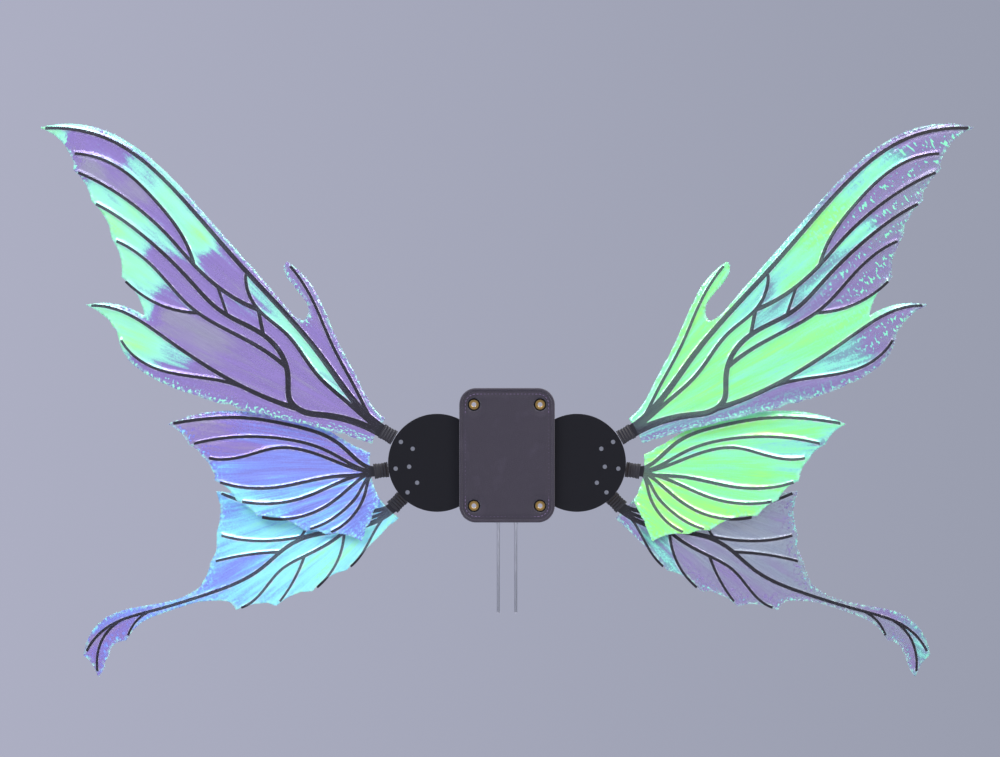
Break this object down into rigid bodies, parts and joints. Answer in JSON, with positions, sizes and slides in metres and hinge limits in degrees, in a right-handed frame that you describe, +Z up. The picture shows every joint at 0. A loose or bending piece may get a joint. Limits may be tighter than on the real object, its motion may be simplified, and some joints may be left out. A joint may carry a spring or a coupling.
{
  "type": "fairy wings",
  "caption": "Costume fairy wings: iridescent film panels on branching black veins, plugged into a hinged back plate worn in a corset.",
  "frame": {"origin": "middle of the back pad's front face, which rests against the wearer's back", "axes": "+Z up, -Y towards the wearer and the way the wearer faces, +X the wearer's left"},
  "size_m": [0.98, 0.1014, 0.5823],
  "materials": {
    "film": "thin clear iridescent film, heat fused, crinkled",
    "vein": "black, satin",
    "sleeve": "black heat-shrink sleeve",
    "steel": "plain steel",
    "brass": "machined",
    "black_aluminium": "black anodised",
    "pad": "black cotton twill over foam"
  },
  "bodies": {
    "base": {"back_pad": "pad", "back_plate": "black_aluminium", "lacing_eyelets": "brass", "hinge_leaf_left": "steel", "hinge_pin_left": "steel", "hinge_rivets_left": "steel", "stay_left": "steel", "stay_clips_left": "steel", "hinge_leaf_right": "steel", "hinge_pin_right": "steel", "hinge_rivets_right": "steel", "stay_right": "steel", "stay_clips_right": "steel"},
    "wing_left": {"wing_plate_left": "black_aluminium", "socket_screws_left": "steel", "socket_forewing_left": "brass", "socket_middle_wing_left": "brass", "socket_tail_wing_left": "brass"},
    "forewing_left": {"forewing_left_film_front": "film", "forewing_left_film_back": "film", "forewing_left_veins": "vein", "forewing_left_wires": "steel", "forewing_left_sleeve": "sleeve"},
    "middle_wing_left": {"middle_wing_left_film_front": "film", "middle_wing_left_film_back": "film", "middle_wing_left_veins": "vein", "middle_wing_left_wires": "steel", "middle_wing_left_sleeve": "sleeve"},
    "tail_wing_left": {"tail_wing_left_film_front": "film", "tail_wing_left_film_back": "film", "tail_wing_left_veins": "vein", "tail_wing_left_wires": "steel", "tail_wing_left_sleeve": "sleeve"},
    "wing_right": {"wing_plate_right": "black_aluminium", "socket_screws_right": "steel", "socket_forewing_right": "brass", "socket_middle_wing_right": "brass", "socket_tail_wing_right": "brass"},
    "forewing_right": {"forewing_right_film_front": "film", "forewing_right_film_back": "film", "forewing_right_veins": "vein", "forewing_right_wires": "steel", "forewing_right_sleeve": "sleeve"},
    "middle_wing_right": {"middle_wing_right_film_front": "film", "middle_wing_right_film_back": "film", "middle_wing_right_veins": "vein", "middle_wing_right_wires": "steel", "middle_wing_right_sleeve": "sleeve"},
    "tail_wing_right": {"tail_wing_right_film_front": "film", "tail_wing_right_film_back": "film", "tail_wing_right_veins": "vein", "tail_wing_right_wires": "steel", "tail_wing_right_sleeve": "sleeve"}
  },
  "joints": [
    {"name": "sweep_left", "type": "hinge", "parent": "base", "child": "wing_left", "pos_m": [-0.044, 0.0115, -0.008], "axis": [0, 0, -1], "range_deg": [-8, 60]},
    {"name": "unplug_forewing_left", "type": "slide", "parent": "wing_left", "child": "forewing_left", "axis": [-0.866, 0, 0.5], "range_m": [0, 0.03]},
    {"name": "unplug_middle_wing_left", "type": "slide", "parent": "wing_left", "child": "middle_wing_left", "axis": [-0.9903, 0, -0.1392], "range_m": [0, 0.03]},
    {"name": "unplug_tail_wing_left", "type": "slide", "parent": "wing_left", "child": "tail_wing_left", "axis": [-0.7071, 0, -0.7071], "range_m": [0, 0.03]},
    {"name": "sweep_right", "type": "hinge", "parent": "base", "child": "wing_right", "pos_m": [0.044, 0.0115, -0.008], "axis": [0, 0, 1], "range_deg": [-8, 60]},
    {"name": "unplug_forewing_right", "type": "slide", "parent": "wing_right", "child": "forewing_right", "axis": [0.866, 0, 0.5], "range_m": [0, 0.03]},
    {"name": "unplug_middle_wing_right", "type": "slide", "parent": "wing_right", "child": "middle_wing_right", "axis": [0.9903, 0, -0.1392], "range_m": [0, 0.03]},
    {"name": "unplug_tail_wing_right", "type": "slide", "parent": "wing_right", "child": "tail_wing_right", "axis": [0.7071, 0, -0.7071], "range_m": [0, 0.03]}
  ]
}
